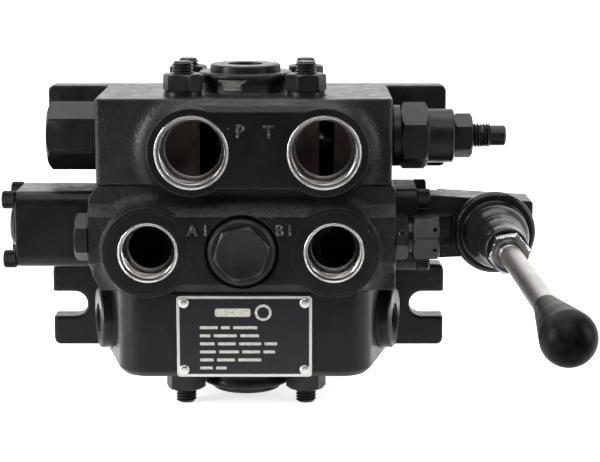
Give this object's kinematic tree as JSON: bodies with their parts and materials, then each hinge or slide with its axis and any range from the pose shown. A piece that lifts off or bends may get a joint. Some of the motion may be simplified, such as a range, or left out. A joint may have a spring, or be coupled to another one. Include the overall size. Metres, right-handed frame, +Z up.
{
  "type": "hydraulic sectional control valve",
  "caption": "Stacked hydraulic directional valve with port bosses, relief cartridge, spool positioner and spring-centred hand lever.",
  "frame": {"origin": "centre of the four mounting slots, on the back mounting plane", "axes": "+X to the lever side, +Y out of the back mounting face, +Z up toward the inlet section"},
  "size_m": [0.2579, 0.2929, 0.1672],
  "materials": {
    "cast_body": "black satin paint over fine sand-cast texture",
    "cast_cover": "black satin paint over fine casting",
    "black_steel": "black oxide, satin",
    "inner_steel": "ground and polished",
    "spring_steel": "plain drawn wire",
    "lever_steel": "fine brushed",
    "zinc_nut": "bright zinc",
    "knob_plastic": "satin moulded phenolic",
    "boot_rubber": "glossy moulded rubber",
    "seal_rubber": "smooth",
    "plate_metal": "black printed face with a bare silver border",
    "rivet_metal": "bare"
  },
  "bodies": {
    "root": {"inlet_section": "cast_body", "work_section": "cast_body", "end_section": "cast_body", "positioner_housing": "cast_cover", "lever_box": "cast_cover", "tie_rods": "black_steel", "tie_rod_nuts_top": "black_steel", "tie_rod_nuts_bottom": "black_steel", "spring_washers_top": "black_steel", "spring_washers_bottom": "black_steel", "top_port_plug": "black_steel", "bottom_port_plug": "black_steel", "end_plug_left": "black_steel", "end_plug_right": "black_steel", "inlet_blanking_plug": "black_steel", "relief_valve_body": "black_steel", "relief_lock_nut": "black_steel", "load_check_plug": "black_steel", "port_relief_cartridge": "black_steel", "port_relief_cap": "black_steel", "port_relief_plug_left": "black_steel", "positioner_end_cap": "black_steel", "positioner_screws": "black_steel", "lever_box_screws": "black_steel", "lever_pivot_pin": "inner_steel", "relief_spring": "spring_steel", "load_check_spring": "spring_steel", "dust_boot": "boot_rubber", "section_seals": "seal_rubber", "end_plug_washers": "seal_rubber", "nameplate": "plate_metal", "nameplate_rivets": "rivet_metal"},
    "spool": {"spool": "inner_steel", "spool_cap_screw": "inner_steel", "spring_seats": "inner_steel", "centering_spring": "spring_steel"},
    "lever": {"lever_hub": "black_steel", "lever_rod": "lever_steel", "lever_lock_nut": "zinc_nut", "lever_knob": "knob_plastic"},
    "check_poppet": {"load_check_poppet": "inner_steel"},
    "relief_poppet": {"relief_poppet": "inner_steel"},
    "relief_screw": {"relief_adjusting_screw": "black_steel"}
  },
  "joints": [
    {"name": "lever_swing", "type": "hinge", "parent": "root", "child": "lever", "pos_m": [0.12, -0.056, 0.0005], "axis": [0, 0, 1], "range_deg": [-18, 18], "stiffness_Nm_per_rad": 2, "deforming": ["dust_boot"]},
    {"name": "spool_slide", "type": "slide", "parent": "root", "child": "spool", "axis": [1, 0, 0], "range_m": [-0.0052, 0.0052]},
    {"name": "load_check_lift", "type": "slide", "parent": "root", "child": "check_poppet", "axis": [0, -1, 0], "range_m": [0, 0.004], "stiffness_N_per_m": 300, "springref_m": -0.004, "deforming": ["load_check_spring"]},
    {"name": "relief_lift", "type": "slide", "parent": "root", "child": "relief_poppet", "axis": [1, 0, 0], "range_m": [0, 0.002], "stiffness_N_per_m": 2000, "springref_m": -0.002, "deforming": ["relief_spring"]},
    {"name": "relief_screw_turn", "type": "hinge", "parent": "root", "child": "relief_screw", "pos_m": [0.12, -0.038, 0.0443], "axis": [1, 0, 0], "range_deg": [-180, 180]}
  ],
  "couplings": [
    {"joint": "spool_slide", "follows": "lever_swing", "m_per_rad": -0.0158}
  ]
}
